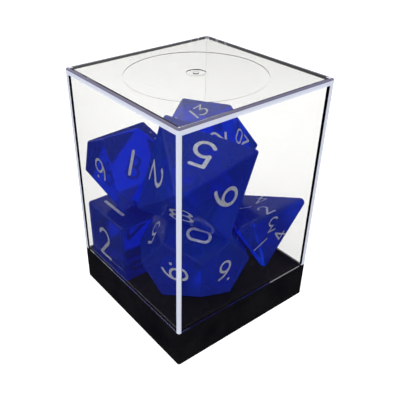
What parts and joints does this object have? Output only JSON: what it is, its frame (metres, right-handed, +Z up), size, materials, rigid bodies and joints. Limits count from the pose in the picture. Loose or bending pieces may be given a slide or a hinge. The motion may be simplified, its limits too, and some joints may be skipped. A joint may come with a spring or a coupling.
{
  "type": "boxed polyhedral dice set",
  "caption": "Translucent blue polyhedral gaming dice with engraved numerals, piled in a clear square display box whose cover lifts off a black base",
  "frame": {"origin": "centre of the base's underside, on the surface it stands on", "axes": "+Z up along the box's height, +X and +Y square to the box's side walls"},
  "size_m": [0.038, 0.038, 0.0544],
  "materials": {
    "clear_cover": "clear injection-moulded polystyrene, polished",
    "black_base": "black moulded polystyrene, glossy",
    "blue_resin": "translucent deep blue resin, tumbled edges",
    "numeral_paint": "silver-white paint wiped into the engraved numerals"
  },
  "bodies": {
    "base": {"black_base": "black_base"},
    "cover": {"clear_cover": "clear_cover"},
    "d4": {"d4_body": "blue_resin", "d4_numeral_paint": "numeral_paint"},
    "d6": {"d6_body": "blue_resin", "d6_numeral_paint": "numeral_paint"},
    "d8": {"d8_body": "blue_resin", "d8_numeral_paint": "numeral_paint"},
    "d10": {"d10_body": "blue_resin", "d10_numeral_paint": "numeral_paint"},
    "d100": {"d100_body": "blue_resin", "d100_numeral_paint": "numeral_paint"},
    "d12": {"d12_body": "blue_resin", "d12_numeral_paint": "numeral_paint"},
    "d20": {"d20_body": "blue_resin", "d20_numeral_paint": "numeral_paint"}
  },
  "joints": [
    {"name": "cover_lift", "type": "slide", "parent": "base", "child": "cover", "axis": [0, 0, 1], "range_m": [0, 0.055]},
    {"name": "d12_lift", "type": "slide", "parent": "base", "child": "d12", "axis": [0, 0, 1], "range_m": [0, 0.002]},
    {"name": "d6_lift", "type": "slide", "parent": "base", "child": "d6", "axis": [0, 0, 1], "range_m": [0, 0.002]},
    {"name": "d8_lift", "type": "slide", "parent": "d12", "child": "d8", "axis": [0, 0, 1], "range_m": [0, 0.0025]},
    {"name": "d4_lift", "type": "slide", "parent": "d12", "child": "d4", "axis": [0, 0, 1], "range_m": [0, 0.0009]},
    {"name": "d10_lift", "type": "slide", "parent": "d6", "child": "d10", "axis": [0, 0, 1], "range_m": [0, 0.006]},
    {"name": "d20_lift", "type": "slide", "parent": "d12", "child": "d20", "axis": [0, 0, 1], "range_m": [0, 0.006]},
    {"name": "d100_shift", "type": "slide", "parent": "base", "child": "d100", "axis": [1, 0, 0], "range_m": [0, 0.0009]}
  ],
  "couplings": [
    {"joint": "d6_lift", "follows": "d12_lift", "ratio": 1}
  ]
}
